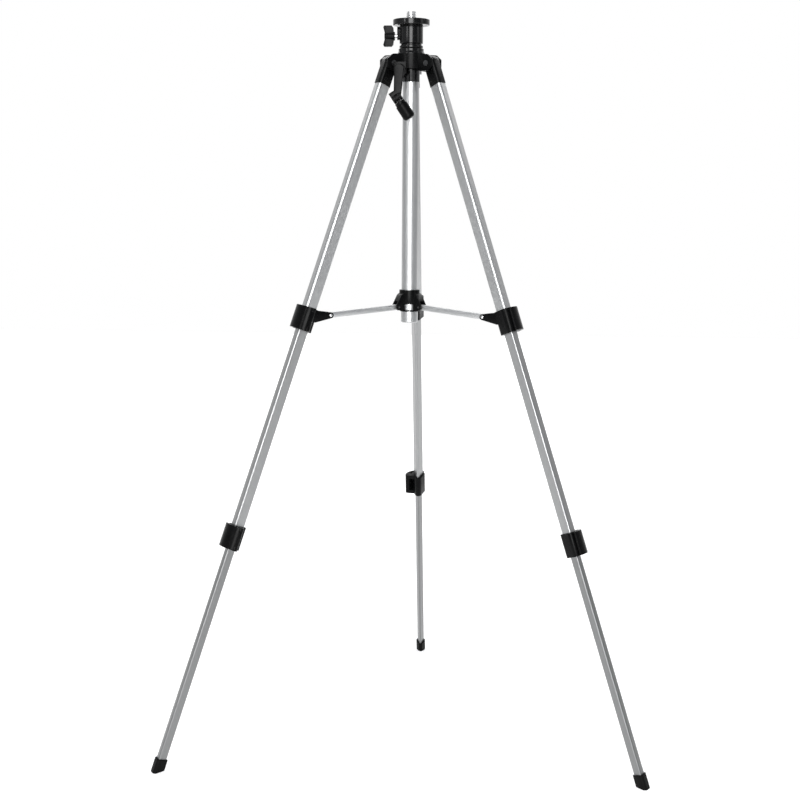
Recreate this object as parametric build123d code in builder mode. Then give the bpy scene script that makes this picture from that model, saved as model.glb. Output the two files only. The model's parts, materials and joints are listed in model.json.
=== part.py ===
from build123d import *
import math
import os

# Instrument tripod, aluminium, with a geared centre column and three-section legs.
# Millimetres. Origin: centre of the platform's top face, at the foot of the 5/8 in stud.
# +Z is up, -Y is the crank side, and the legs stand at 90, 210 and 330 degrees round Z.

os.makedirs("parts", exist_ok=True)

# ---- driving dimensions -------------------------------------------------------------
LEG_AZIMUTHS = (90.0, 210.0, 330.0)
LEG_TILT = 19.81  # of an open leg, from the vertical
FOLDED_TILT = 4.0  # of a folded leg
AXIS_RADIUS = 39.3  # where a leg's axis crosses the level AXIS_Z
AXIS_Z = -76.0
GROUND_Z = -1146.0
STUD_RADIUS = 15.875 / 2  # 5/8 in instrument thread
STUD_HEIGHT = 12.0
PLATFORM_RADIUS = 28.5
PLATFORM_THICKNESS = 9.0
SLIP = 0.05  # radial clearance of a running fit
SEAT = 0.02  # radial clearance of a seat between two fixed pieces
GAP = 0.3  # side clearance between folding pieces

# leg sections: radial depth, width round the tripod, corner radius
UPPER = (22.0, 19.4, 4.4)
MIDDLE = (18.9, 16.3, 2.85)
LOWER = (14.5, 12.2, 2.2)
TUBE_WALL = 1.2
SECTION_OVERLAP = 60.0
LOCK_LENGTH = 37.0
LOCK_WALL = 3.5
UPPER_LOCK_S = 408.0  # distance of a lock's middle down the leg's axis
LOWER_LOCK_S = 760.5
SLEEVE_END_S = 27.0
FOOT_TOP_S = 1117.0

# leg pivots in the crown
PIVOT_S = -8.0
PIVOT_PIN_RADIUS = 2.5
SLEEVE_GROW = 0.9
SLEEVE_HEAD_RADIUS = 11.9
EAR_THICKNESS = 3.3

# crown and column
CROWN_TOP_Z = -53.0
CROWN_BOTTOM_Z = -76.0
CROWN_RADIUS = 26.0
COLUMN_RADIUS = 10.4
COLUMN_TOP_Z = -43.5
COLUMN_BOTTOM_Z = -420.0
TUBE_RADIUS = 12.8  # centre tube
TUBE_TOP_Z = -88.0
TUBE_BOTTOM_Z = -464.0
NECK_BOTTOM_Z = -95.0

# rack and pinion
MODULE = 0.8
PINION_TEETH = 12
RACK_PITCH_X = -9.6
RACK_TOP_Z = -64.0
RACK_BOTTOM_Z = -402.0
RACK_WIDTH = 8.0
PINION_Z = -80.0
RACK_ADDENDUM = 0.5
RACK_DEDENDUM = 0.85
PINION_ADDENDUM = 0.6
PINION_DEDENDUM = 0.75
PRESSURE_ANGLE = 20.0
BACKLASH = 0.28

# crank
SHAFT_RADIUS = 2.5
ARM_Y = -59.0
ARM_THICKNESS = 9.0
ARM_DROP = 43.0
ARM_LEAN = 3.2
GRIP_RADIUS = 9.5
GRIP_START = 12.3
GRIP_END = 37.0
GRIP_ANGLE = 33.7  # of the parked grip, from the vertical
KNUCKLE_RADIUS = 6.5

# spreader
LUG_S = 390.0
LUG_N = -34.0
HUB_PIN_RADIUS = 22.0
STRUT_SLOPE = 4.5
STRUT_WIDTH = 10.0
STRUT_HEIGHT = 8.4
FORK_THICKNESS = 3.0

# ---- worked-out values --------------------------------------------------------------
TILT = math.radians(LEG_TILT)
PIVOT_R = AXIS_RADIUS + PIVOT_S * math.sin(TILT)
PIVOT_Z = AXIS_Z - PIVOT_S * math.cos(TILT)
PITCH = math.pi * MODULE
PITCH_RADIUS = MODULE * PINION_TEETH / 2
PINION_X = RACK_PITCH_X - PITCH_RADIUS
SLOT_HALF = UPPER[1] / 2 + SLEEVE_GROW + GAP
EAR_HALF = SLOT_HALF + EAR_THICKNESS
LUG_R = AXIS_RADIUS + LUG_S * math.sin(TILT) + LUG_N * math.cos(TILT)
LUG_Z = AXIS_Z - LUG_S * math.cos(TILT) + LUG_N * math.sin(TILT)
HUB_PIN_Z = LUG_Z + (LUG_R - HUB_PIN_RADIUS) * math.tan(math.radians(STRUT_SLOPE))
STRUT_LENGTH = math.hypot(LUG_R - HUB_PIN_RADIUS, HUB_PIN_Z - LUG_Z)
HUB_TOP_Z = HUB_PIN_Z + 27.0
HUB_BOTTOM_Z = HUB_PIN_Z - 7.0
LOCK_HALF = LOCK_LENGTH / 2
UPPER_TUBE_END_S = UPPER_LOCK_S + LOCK_HALF - 6.0
MIDDLE_TOP_S = UPPER_LOCK_S + LOCK_HALF - SECTION_OVERLAP
MIDDLE_END_S = LOWER_LOCK_S + LOCK_HALF - 6.0
LOWER_TOP_S = LOWER_LOCK_S + LOCK_HALF - SECTION_OVERLAP - 6.0


def unit(azimuth):
    """Horizontal unit vector at an azimuth in degrees."""
    angle = math.radians(azimuth)
    return (math.cos(angle), math.sin(angle))


def leg_plane(azimuth, s=0.0):
    """Plane across a leg at distance s down its axis: x outward, y round, z up the leg."""
    ux, uy = unit(azimuth)
    radius = AXIS_RADIUS + s * math.sin(TILT)
    return Plane(
        origin=(radius * ux, radius * uy, AXIS_Z - s * math.cos(TILT)),
        x_dir=(math.cos(TILT) * ux, math.cos(TILT) * uy, math.sin(TILT)),
        z_dir=(-math.sin(TILT) * ux, -math.sin(TILT) * uy, math.cos(TILT)),
    )


def leg_side_plane(azimuth):
    """Plane through a leg's axis: x outward across the leg, y up the leg."""
    ux, uy = unit(azimuth)
    return Plane(
        origin=(AXIS_RADIUS * ux, AXIS_RADIUS * uy, AXIS_Z),
        x_dir=(math.cos(TILT) * ux, math.cos(TILT) * uy, math.sin(TILT)),
        z_dir=(uy, -ux, 0),
    )


def radial_plane(azimuth):
    """Upright plane through the tripod's axis: x is the radius, y is the height."""
    ux, uy = unit(azimuth)
    return Plane(origin=(0, 0, 0), x_dir=(ux, uy, 0), z_dir=(uy, -ux, 0))


def plan_plane(azimuth, z):
    """Level plane at height z with x pointing at an azimuth."""
    ux, uy = unit(azimuth)
    return Plane(origin=(0, 0, z), x_dir=(ux, uy, 0), z_dir=(0, 0, 1))


def crank_plane(y):
    """Upright plane facing the crank side: x is +X, y is +Z, and it extrudes towards -Y."""
    return Plane(origin=(0, y, 0), x_dir=(1, 0, 0), z_dir=(0, -1, 0))


def section(profile, grow=0.0):
    """Rounded triangular leg section, flat side outward, grown all round by grow."""
    depth, width, corner = profile
    reach = depth / 2 - corner
    side = width / 2 - corner
    with Locations((reach, side), (reach, -side), (-reach, 0)):
        corners = Circle(corner + grow, mode=Mode.PRIVATE)
    make_hull(corners.edges())


def finish(piece, name):
    piece.part.label = name
    export_step(piece.part, f"parts/{name}.step")


# ---- head ---------------------------------------------------------------------------
STUD_SHANK_RADIUS = 5.0
NUT_THICKNESS = 4.0
NUT_FLATS = 15.0
SLEEVE_RADIUS = 18.25
SLEEVE_BOTTOM_Z = -37.0
SPIGOT_RADIUS = 13.45
SPIGOT_TOP_Z = -14.0
CLAMP_Z = -25.0
CLAMP_SCREW_RADIUS = 2.5
GROOVE_DEPTH = 1.2
BOSS_FACE_X = -21.5
KNOB_FACE_X = -25.5
KNOB_END_X = -43.5
WING_HALF_SPAN = 16.0
WING_HALF_THICKNESS = 3.4
KNOB_HUB_RADIUS = 6.6
KNOB_SOCKET_DEPTH = 10.0
STUD_CHAMFER = 0.8
FOOT_RECESS_RADIUS = STUD_RADIUS + 1.0  # lets an instrument or a thin collar sit flat round the stud
FOOT_RECESS_DEPTH = 0.6
SCREW_TIP_R = SPIGOT_RADIUS - GROOVE_DEPTH + 0.1
SHROUD_RADIUS = 16.2


def clamp_plane(reach=0.0):
    """Plane across the clamp screw, reach along it from the column's axis."""
    return Plane(origin=(-reach, 0, CLAMP_Z), x_dir=(0, 1, 0), z_dir=(-1, 0, 0))


with BuildPart() as instrument_stud:
    with BuildSketch(Plane.XY.offset(-FOOT_RECESS_DEPTH)):
        Circle(STUD_RADIUS)
    extrude(amount=STUD_HEIGHT + FOOT_RECESS_DEPTH)
    chamfer(instrument_stud.faces().sort_by(Axis.Z)[-1].edges(), STUD_CHAMFER)
    with BuildSketch(Plane.XY):
        Circle(STUD_SHANK_RADIUS)
    extrude(amount=-(PLATFORM_THICKNESS + NUT_THICKNESS + 0.5))
finish(instrument_stud, "instrument_stud")

with BuildPart() as platform_disc:
    with BuildSketch(Plane.XY):
        Circle(PLATFORM_RADIUS)
        Circle(STUD_SHANK_RADIUS + SEAT, mode=Mode.SUBTRACT)
    extrude(amount=-PLATFORM_THICKNESS)
    rim = platform_disc.edges().filter_by(GeomType.CIRCLE).sort_by(SortBy.RADIUS)[-2:]
    fillet(rim, 1.2)
    with BuildSketch(Plane.XY):
        Circle(FOOT_RECESS_RADIUS)
    extrude(amount=-FOOT_RECESS_DEPTH, mode=Mode.SUBTRACT)
finish(platform_disc, "platform_disc")

with BuildPart() as stud_lock_nut:
    with BuildSketch(Plane.XY.offset(-PLATFORM_THICKNESS)):
        RegularPolygon(NUT_FLATS / 2, 6, major_radius=False)
        Circle(STUD_SHANK_RADIUS + SEAT, mode=Mode.SUBTRACT)
    extrude(amount=-NUT_THICKNESS)
finish(stud_lock_nut, "stud_lock_nut")

with BuildPart() as head_sleeve:
    with BuildSketch(Plane.XY.offset(SLEEVE_BOTTOM_Z)):
        Circle(SLEEVE_RADIUS)
    extrude(amount=-SLEEVE_BOTTOM_Z - PLATFORM_THICKNESS)
    with BuildSketch(clamp_plane()):
        with Locations((0, -4.0)):
            RectangleRounded(15.0, 20.0, 5.0)
    extrude(amount=-BOSS_FACE_X)
    with BuildSketch(Plane.XY.offset(SLEEVE_BOTTOM_Z)):
        Circle(SPIGOT_RADIUS + SLIP)
    extrude(amount=-SLEEVE_BOTTOM_Z - PLATFORM_THICKNESS, mode=Mode.SUBTRACT)
    with BuildSketch(clamp_plane()):
        Circle(CLAMP_SCREW_RADIUS + SLIP)
    extrude(amount=-BOSS_FACE_X + 1.0, mode=Mode.SUBTRACT)
    bottom_rim = head_sleeve.edges().filter_by(GeomType.CIRCLE).group_by(Axis.Z)[0]
    chamfer(bottom_rim.sort_by(SortBy.RADIUS)[-1], 0.6)
finish(head_sleeve, "head_sleeve")

with BuildPart() as clamp_screw:
    with BuildSketch(clamp_plane(SCREW_TIP_R)):
        Circle(CLAMP_SCREW_RADIUS)
    extrude(amount=-KNOB_FACE_X + KNOB_SOCKET_DEPTH - SCREW_TIP_R)
finish(clamp_screw, "clamp_screw")

with BuildPart() as wing_knob:
    with BuildSketch(clamp_plane(-KNOB_FACE_X)):
        Circle(KNOB_HUB_RADIUS)
    extrude(amount=KNOB_FACE_X - KNOB_END_X - 2.0, taper=4)
    with BuildSketch(Plane(origin=(0, 0, CLAMP_Z), x_dir=(-1, 0, 0), z_dir=(0, 1, 0))):
        with BuildLine():
            Polyline(
                (-KNOB_FACE_X + 1.5, -5.0),
                (-KNOB_FACE_X + 2.5, -WING_HALF_SPAN + 3.0),
                (-KNOB_FACE_X + 5.0, -WING_HALF_SPAN),
                (-KNOB_END_X - 1.5, -WING_HALF_SPAN),
                (-KNOB_END_X, -WING_HALF_SPAN + 2.5),
                (-KNOB_END_X - 3.0, -2.0),
                (-KNOB_END_X - 3.0, 2.0),
                (-KNOB_END_X, WING_HALF_SPAN - 2.5),
                (-KNOB_END_X - 1.5, WING_HALF_SPAN),
                (-KNOB_FACE_X + 5.0, WING_HALF_SPAN),
                (-KNOB_FACE_X + 2.5, WING_HALF_SPAN - 3.0),
                (-KNOB_FACE_X + 1.5, 5.0),
                close=True,
            )
        make_face()
    extrude(amount=WING_HALF_THICKNESS, both=True)
    with BuildSketch(clamp_plane(-KNOB_FACE_X)):
        Circle(CLAMP_SCREW_RADIUS + SEAT)
    extrude(amount=KNOB_SOCKET_DEPTH, mode=Mode.SUBTRACT)
finish(wing_knob, "wing_knob")

# ---- column -------------------------------------------------------------------------
FLANGE_TOP_Z = -39.5
FLANGE_RADIUS = 18.3
PLUG_STEM_BOTTOM_Z = -62.0
COLUMN_WALL = 1.2

with BuildPart() as column_top_plug:
    with BuildSketch(Plane.XZ):
        with BuildLine():
            Polyline(
                (0, SPIGOT_TOP_Z),
                (SPIGOT_RADIUS - 0.6, SPIGOT_TOP_Z),
                (SPIGOT_RADIUS, SPIGOT_TOP_Z - 0.6),
                (SPIGOT_RADIUS, CLAMP_Z + 3.5),
                (SPIGOT_RADIUS - GROOVE_DEPTH, CLAMP_Z + 3.0),
                (SPIGOT_RADIUS - GROOVE_DEPTH, CLAMP_Z - 3.0),
                (SPIGOT_RADIUS, CLAMP_Z - 3.5),
                (SPIGOT_RADIUS, SLEEVE_BOTTOM_Z - 0.1),
                (SHROUD_RADIUS, SLEEVE_BOTTOM_Z - 0.1),
                (SHROUD_RADIUS, FLANGE_TOP_Z),
                (FLANGE_RADIUS - 0.5, FLANGE_TOP_Z),
                (FLANGE_RADIUS, FLANGE_TOP_Z - 0.5),
                (FLANGE_RADIUS, COLUMN_TOP_Z + 0.5),
                (FLANGE_RADIUS - 0.5, COLUMN_TOP_Z),
                (COLUMN_RADIUS - COLUMN_WALL - SEAT, COLUMN_TOP_Z),
                (COLUMN_RADIUS - COLUMN_WALL - SEAT, PLUG_STEM_BOTTOM_Z),
                (0, PLUG_STEM_BOTTOM_Z),
                close=True,
            )
        make_face()
    revolve(axis=Axis.Z)
finish(column_top_plug, "column_top_plug")

with BuildPart() as elevator_column:
    with BuildSketch(Plane.XY.offset(COLUMN_BOTTOM_Z)):
        Circle(COLUMN_RADIUS)
        Circle(COLUMN_RADIUS - COLUMN_WALL, mode=Mode.SUBTRACT)
    extrude(amount=COLUMN_TOP_Z - COLUMN_BOTTOM_Z)
    with BuildSketch(Plane.XY.offset(RACK_BOTTOM_Z - SEAT)):
        with Locations((-COLUMN_RADIUS, 0)):
            Rectangle(2 * 3.4, RACK_WIDTH + 2 * SEAT)
    extrude(amount=RACK_TOP_Z - RACK_BOTTOM_Z + 2 * SEAT, mode=Mode.SUBTRACT)
finish(elevator_column, "elevator_column")


def rack_outline():
    """Points of the rack in x and z: straight back, then one tooth after another."""
    slope = math.tan(math.radians(PRESSURE_ANGLE))
    tip_x = RACK_PITCH_X - RACK_ADDENDUM
    root_x = RACK_PITCH_X + RACK_DEDENDUM
    half_tip = PITCH / 4 - RACK_ADDENDUM * slope
    half_root = PITCH / 4 + RACK_DEDENDUM * slope
    first = math.ceil((RACK_BOTTOM_Z + PITCH - PINION_Z) / PITCH)
    last = math.floor((RACK_TOP_Z - PITCH - PINION_Z) / PITCH)
    points = [(root_x, RACK_BOTTOM_Z)]
    for tooth in range(first, last + 1):
        z = PINION_Z + tooth * PITCH
        points += [(root_x, z - half_root), (tip_x, z - half_tip)]
        points += [(tip_x, z + half_tip), (root_x, z + half_root)]
    points.append((root_x, RACK_TOP_Z))
    points += [(-7.0, RACK_TOP_Z), (-7.0, RACK_BOTTOM_Z)]
    return points


with BuildPart() as column_rack:
    with BuildSketch(crank_plane(0)):
        with BuildLine():
            Polyline(*rack_outline(), close=True)
        make_face()
    extrude(amount=RACK_WIDTH / 2, both=True)
finish(column_rack, "column_rack")

with BuildPart() as column_end_plug:
    with BuildSketch(Plane.XY.offset(COLUMN_BOTTOM_Z)):
        Circle(TUBE_RADIUS - TUBE_WALL - 0.1)
    extrude(amount=-4.0)
    with BuildSketch(Plane.XY.offset(COLUMN_BOTTOM_Z)):
        Circle(COLUMN_RADIUS - COLUMN_WALL - SEAT)
    extrude(amount=15.0)
finish(column_end_plug, "column_end_plug")

# ---- crown --------------------------------------------------------------------------
HOUSING_RADIUS = 9.2
HOUSING_FRONT_Y = -46.0
HOUSING_BACK_Y = 8.5
COVER_THICKNESS = 2.5
NECK_RADIUS = 13.6
NECK_FLANGE_RADIUS = 14.4
BORE_RADIUS = COLUMN_RADIUS + SLIP
LEVEL_AZIMUTH = 147.0
LEVEL_R = 29.5
LEVEL_RADIUS = 5.75
PIN_HEAD = 1.2
PIN_HEAD_RADIUS = 4.2
VIAL_RADIUS = 4.3


def bore_profile():
    """Section of the column's bore, with a keyway for the rack."""
    Circle(BORE_RADIUS)
    with Locations((-BORE_RADIUS, 0)):
        Rectangle(2.4, RACK_WIDTH + 2 * GAP)


def bracket_points():
    """One leg bracket of the crown, side view: radius and height."""
    outer = PIVOT_R + 10.4
    return [
        (12.0, CROWN_TOP_Z),
        (outer - 8.0, CROWN_TOP_Z - 2.0),
        (outer, CROWN_TOP_Z - 9.0),
        (outer, PIVOT_Z - 6.0),
        (outer - 7.0, PIVOT_Z - 11.5),
        (24.0, PIVOT_Z - 11.5),
        (12.0, CROWN_BOTTOM_Z),
    ]


with BuildPart() as crown_body:
    with BuildSketch(Plane.XY.offset(CROWN_BOTTOM_Z)):
        Circle(CROWN_RADIUS)
    extrude(amount=CROWN_TOP_Z - CROWN_BOTTOM_Z)
    for azimuth in LEG_AZIMUTHS:
        with BuildSketch(radial_plane(azimuth)) as bracket:
            with BuildLine():
                Polyline(*bracket_points(), close=True)
            make_face()
            outer_corners = bracket.vertices().sort_by(Axis((0, 0, 0), (*unit(azimuth), 0)))[-4:]
            fillet(outer_corners, 3.0)
        extrude(amount=EAR_HALF, both=True)
    with BuildSketch(crank_plane(HOUSING_BACK_Y)):
        with Locations((PINION_X, PINION_Z)):
            Circle(HOUSING_RADIUS)
        with Locations((PINION_X, PINION_Z + 6.0)):
            Rectangle(2 * HOUSING_RADIUS, 12.0)
    extrude(amount=HOUSING_BACK_Y - HOUSING_FRONT_Y)
    with BuildSketch(plan_plane(LEVEL_AZIMUTH, CROWN_TOP_Z - 1.0)):
        with Locations((LEVEL_R, 0)):
            Circle(LEVEL_RADIUS + 1.2)
        with Locations((LEVEL_R / 2 + 6, 0)):
            Rectangle(LEVEL_R - 12, 2 * LEVEL_RADIUS + 2.4)
    extrude(amount=-9.0)
    with BuildSketch(plan_plane(LEVEL_AZIMUTH, CROWN_TOP_Z - 1.0)):
        with Locations((LEVEL_R, 0)):
            Circle(LEVEL_RADIUS + SEAT)
    extrude(amount=4.0, mode=Mode.SUBTRACT)
    for azimuth in LEG_AZIMUTHS:
        with BuildSketch(plan_plane(azimuth, -110.0)):
            with BuildLine():
                Polyline(
                    (24.2, -6.5),
                    (31.0, -9.0),
                    (36.5, -SLOT_HALF),
                    (70.0, -SLOT_HALF),
                    (70.0, SLOT_HALF),
                    (36.5, SLOT_HALF),
                    (31.0, 9.0),
                    (24.2, 6.5),
                    close=True,
                )
            make_face()
        extrude(amount=70.0, mode=Mode.SUBTRACT)
        with BuildSketch(radial_plane(azimuth)):
            with Locations((PIVOT_R, PIVOT_Z)):
                Circle(PIVOT_PIN_RADIUS + SEAT)
        extrude(amount=EAR_HALF + 1, both=True, mode=Mode.SUBTRACT)
        for side in (1, -1):
            with BuildSketch(radial_plane(azimuth).offset(side * EAR_HALF)):
                with Locations((PIVOT_R, PIVOT_Z)):
                    Circle(PIN_HEAD_RADIUS + GAP)
            extrude(amount=side * 8.0, mode=Mode.SUBTRACT)
    with BuildSketch(Plane.XY.offset(CROWN_BOTTOM_Z)):
        bore_profile()
    extrude(amount=CROWN_TOP_Z - CROWN_BOTTOM_Z, mode=Mode.SUBTRACT)
    with BuildSketch(Plane.XY.offset(CROWN_BOTTOM_Z)):
        Circle(NECK_FLANGE_RADIUS + SEAT)
    extrude(amount=-30.0, mode=Mode.SUBTRACT)
    with BuildSketch(crank_plane(5.4)):
        with Locations((PINION_X, PINION_Z)):
            Circle(PITCH_RADIUS + 1.1)
        with Locations((PINION_X + 5, PINION_Z)):
            Rectangle(10.0, 2 * (PITCH_RADIUS + 1.1))
    extrude(amount=10.8, mode=Mode.SUBTRACT)
    with BuildSketch(crank_plane(HOUSING_BACK_Y)):
        with Locations((PINION_X, PINION_Z)):
            Circle(SHAFT_RADIUS + SLIP)
    extrude(amount=HOUSING_BACK_Y - HOUSING_FRONT_Y, mode=Mode.SUBTRACT)
finish(crown_body, "crown_body")

with BuildPart() as crown_top_ring:
    with BuildSketch(Plane.XZ):
        with BuildLine():
            Polyline(
                (0, CROWN_TOP_Z),
                (21.6, CROWN_TOP_Z),
                (21.6, CROWN_TOP_Z + 1.0),
                (19.6, CROWN_TOP_Z + 4.5),
                (19.6, COLUMN_TOP_Z - 1.4),
                (19.0, COLUMN_TOP_Z - 0.8),
                (0, COLUMN_TOP_Z - 0.8),
                close=True,
            )
        make_face()
    revolve(axis=Axis.Z)
    with BuildSketch(Plane.XY.offset(CROWN_TOP_Z)):
        bore_profile()
    extrude(amount=COLUMN_TOP_Z - CROWN_TOP_Z, mode=Mode.SUBTRACT)
finish(crown_top_ring, "crown_top_ring")

with BuildPart() as neck_collar:
    with BuildSketch(Plane.XY.offset(NECK_BOTTOM_Z)):
        Circle(NECK_RADIUS)
    extrude(amount=CROWN_BOTTOM_Z - NECK_BOTTOM_Z)
    with BuildSketch(Plane.XY.offset(CROWN_BOTTOM_Z)):
        Circle(NECK_FLANGE_RADIUS)
    extrude(amount=-2.4)
    with BuildSketch(Plane.XY.offset(NECK_BOTTOM_Z)):
        bore_profile()
    extrude(amount=CROWN_BOTTOM_Z - NECK_BOTTOM_Z, mode=Mode.SUBTRACT)
    with BuildSketch(Plane.XY.offset(NECK_BOTTOM_Z)):
        Circle(TUBE_RADIUS + SEAT)
    extrude(amount=TUBE_TOP_Z - NECK_BOTTOM_Z, mode=Mode.SUBTRACT)
    with BuildSketch(crank_plane(6.0)):
        with Locations((PINION_X, PINION_Z)):
            Rectangle(14.0, 2 * (PITCH_RADIUS + 1.4))
    extrude(amount=12.0, mode=Mode.SUBTRACT)
    with BuildSketch(crank_plane(0)):
        with Locations((PINION_X, PINION_Z)):
            Circle(SHAFT_RADIUS + 0.6)
    extrude(amount=20.0, both=True, mode=Mode.SUBTRACT)
finish(neck_collar, "neck_collar")

with BuildPart() as gear_housing_cover:
    with BuildSketch(crank_plane(HOUSING_FRONT_Y)):
        with Locations((PINION_X, PINION_Z)):
            Circle(HOUSING_RADIUS)
            Circle(SHAFT_RADIUS + SLIP, mode=Mode.SUBTRACT)
    extrude(amount=COVER_THICKNESS)
    front = gear_housing_cover.faces().sort_by(Axis.Y)[0]
    chamfer(front.edges().filter_by(GeomType.CIRCLE).sort_by(SortBy.RADIUS)[-1], 0.8)
finish(gear_housing_cover, "gear_housing_cover")

with BuildPart() as leg_pivot_pins:
    for azimuth in LEG_AZIMUTHS:
        with BuildSketch(radial_plane(azimuth)):
            with Locations((PIVOT_R, PIVOT_Z)):
                Circle(PIVOT_PIN_RADIUS)
        extrude(amount=EAR_HALF + PIN_HEAD, both=True)
        for side in (1, -1):
            with BuildSketch(radial_plane(azimuth).offset(side * EAR_HALF)):
                with Locations((PIVOT_R, PIVOT_Z)):
                    Circle(PIN_HEAD_RADIUS)
            extrude(amount=side * PIN_HEAD)
finish(leg_pivot_pins, "leg_pivot_pins")

with BuildPart() as level_housing:
    with BuildSketch(plan_plane(LEVEL_AZIMUTH, CROWN_TOP_Z - 1.0)):
        with Locations((LEVEL_R, 0)):
            Circle(LEVEL_RADIUS)
    extrude(amount=4.0)
    with BuildSketch(plan_plane(LEVEL_AZIMUTH, CROWN_TOP_Z)):
        with Locations((LEVEL_R, 0)):
            Circle(VIAL_RADIUS)
    extrude(amount=4.0, mode=Mode.SUBTRACT)
finish(level_housing, "level_housing")

with BuildPart() as level_vial:
    with BuildSketch(plan_plane(LEVEL_AZIMUTH, CROWN_TOP_Z)):
        with Locations((LEVEL_R, 0)):
            Circle(VIAL_RADIUS - SEAT)
    extrude(amount=2.6)
finish(level_vial, "level_vial")

with BuildPart() as center_tube:
    with BuildSketch(Plane.XY.offset(TUBE_BOTTOM_Z)):
        Circle(TUBE_RADIUS)
        Circle(TUBE_RADIUS - TUBE_WALL, mode=Mode.SUBTRACT)
    extrude(amount=TUBE_TOP_Z - TUBE_BOTTOM_Z)
finish(center_tube, "center_tube")

CAP_RADIUS = 13.4
CAP_TOP_Z = HUB_BOTTOM_Z - 0.6
with BuildPart() as tube_end_cap:
    with BuildSketch(Plane.XY.offset(TUBE_BOTTOM_Z - 6.0)):
        Circle(CAP_RADIUS)
    extrude(amount=CAP_TOP_Z - TUBE_BOTTOM_Z + 6.0)
    chamfer(tube_end_cap.faces().sort_by(Axis.Z)[0].edges(), 1.4)
    with BuildSketch(Plane.XY.offset(TUBE_BOTTOM_Z)):
        Circle(TUBE_RADIUS + SEAT)
    extrude(amount=CAP_TOP_Z - TUBE_BOTTOM_Z, mode=Mode.SUBTRACT)
finish(tube_end_cap, "tube_end_cap")

# ---- crank --------------------------------------------------------------------------
SHAFT_BACK_Y = 8.0
PINION_HALF = 3.9
GRIP = math.radians(GRIP_ANGLE)
HINGE_X = PINION_X - ARM_LEAN
HINGE_Z = PINION_Z - ARM_DROP
ALONG_GRIP = (math.sin(GRIP), 0, -math.cos(GRIP))
ACROSS_GRIP = (math.cos(GRIP), 0, math.sin(GRIP))
TONGUE_HALF = 2.8
KNUCKLE_HALF = 7.6


def pinion_outline():
    """Involute pinion points round its own centre, with one tooth space towards +X."""
    base = PITCH_RADIUS * math.cos(math.radians(PRESSURE_ANGLE))
    tip = PITCH_RADIUS + PINION_ADDENDUM
    root = PITCH_RADIUS - PINION_DEDENDUM
    involute = math.tan(math.radians(PRESSURE_ANGLE)) - math.radians(PRESSURE_ANGLE)
    half_tooth = (PITCH / 2 - BACKLASH) / (2 * PITCH_RADIUS) + involute
    steps = 5
    flank = []
    for step in range(steps + 1):
        radius = base + (tip - base) * step / steps
        roll = math.acos(min(1.0, base / radius))
        flank.append((radius, half_tooth - (math.tan(roll) - roll)))
    points = []
    for tooth in range(PINION_TEETH):
        middle = (tooth + 0.5) * 2 * math.pi / PINION_TEETH
        rise = [(root, -half_tooth)] + [(r, -a) for r, a in flank]
        fall = [(r, a) for r, a in reversed(flank)] + [(root, half_tooth)]
        for radius, angle in rise + fall:
            points.append((radius * math.cos(middle + angle), radius * math.sin(middle + angle)))
    return points


with BuildPart() as pinion_gear:
    with BuildSketch(Plane(origin=(PINION_X, PINION_HALF, PINION_Z), x_dir=(1, 0, 0),
                           z_dir=(0, -1, 0))):
        with BuildLine():
            Polyline(*pinion_outline(), close=True)
        make_face()
        Circle(SHAFT_RADIUS + SEAT, mode=Mode.SUBTRACT)
    extrude(amount=2 * PINION_HALF)
finish(pinion_gear, "pinion_gear")

with BuildPart() as crank_shaft:
    with BuildSketch(crank_plane(SHAFT_BACK_Y)):
        with Locations((PINION_X, PINION_Z)):
            Circle(SHAFT_RADIUS)
    extrude(amount=SHAFT_BACK_Y - ARM_Y + 1.0)
finish(crank_shaft, "crank_shaft")


def hinge_plane(across=0.0):
    """Plane square to the grip's fold axis: x along the parked grip, y towards +Y."""
    origin = (HINGE_X + across * ACROSS_GRIP[0], ARM_Y, HINGE_Z + across * ACROSS_GRIP[2])
    return Plane(origin=origin, x_dir=ALONG_GRIP, z_dir=ACROSS_GRIP)


def grip_plane(along):
    """Plane square to the parked grip at a distance from its fold axis."""
    origin = (HINGE_X + along * ALONG_GRIP[0], ARM_Y, HINGE_Z + along * ALONG_GRIP[2])
    return Plane(origin=origin, x_dir=(0, 1, 0), z_dir=ALONG_GRIP)


with BuildPart() as crank_arm:
    with BuildSketch(crank_plane(ARM_Y + ARM_THICKNESS / 2)):
        with Locations((PINION_X, PINION_Z)):
            Circle(7.6)
        with Locations((HINGE_X + 0.5, HINGE_Z + 1.5)):
            Circle(5.4)
        make_hull()
    extrude(amount=ARM_THICKNESS)
    front = crank_arm.faces().sort_by(Axis.Y)[0]
    chamfer(front.edges(), 1.0)
    with BuildSketch(hinge_plane()):
        Circle(KNUCKLE_RADIUS)
    extrude(amount=KNUCKLE_HALF, both=True)
    with BuildSketch(hinge_plane()):
        with Locations((-7.5, 0)):
            RectangleRounded(8.0, ARM_THICKNESS, 1.0)
    extrude(amount=KNUCKLE_HALF, both=True)
    with BuildSketch(hinge_plane()):
        Circle(KNUCKLE_RADIUS + 0.5)
    extrude(amount=TONGUE_HALF + 0.2, both=True, mode=Mode.SUBTRACT)
    with BuildSketch(hinge_plane()):
        Circle(1.6 + SEAT)
    extrude(amount=KNUCKLE_HALF + 4, both=True, mode=Mode.SUBTRACT)
    with BuildSketch(crank_plane(ARM_Y + ARM_THICKNESS / 2)):
        with Locations((PINION_X, PINION_Z)):
            Circle(SHAFT_RADIUS + SEAT)
    extrude(amount=ARM_THICKNESS / 2 + 1.0 + SEAT, mode=Mode.SUBTRACT)
finish(crank_arm, "crank_arm")

with BuildPart() as grip_fold_pin:
    with BuildSketch(hinge_plane()):
        Circle(1.6)
    extrude(amount=KNUCKLE_HALF, both=True)
finish(grip_fold_pin, "grip_fold_pin")

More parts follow.
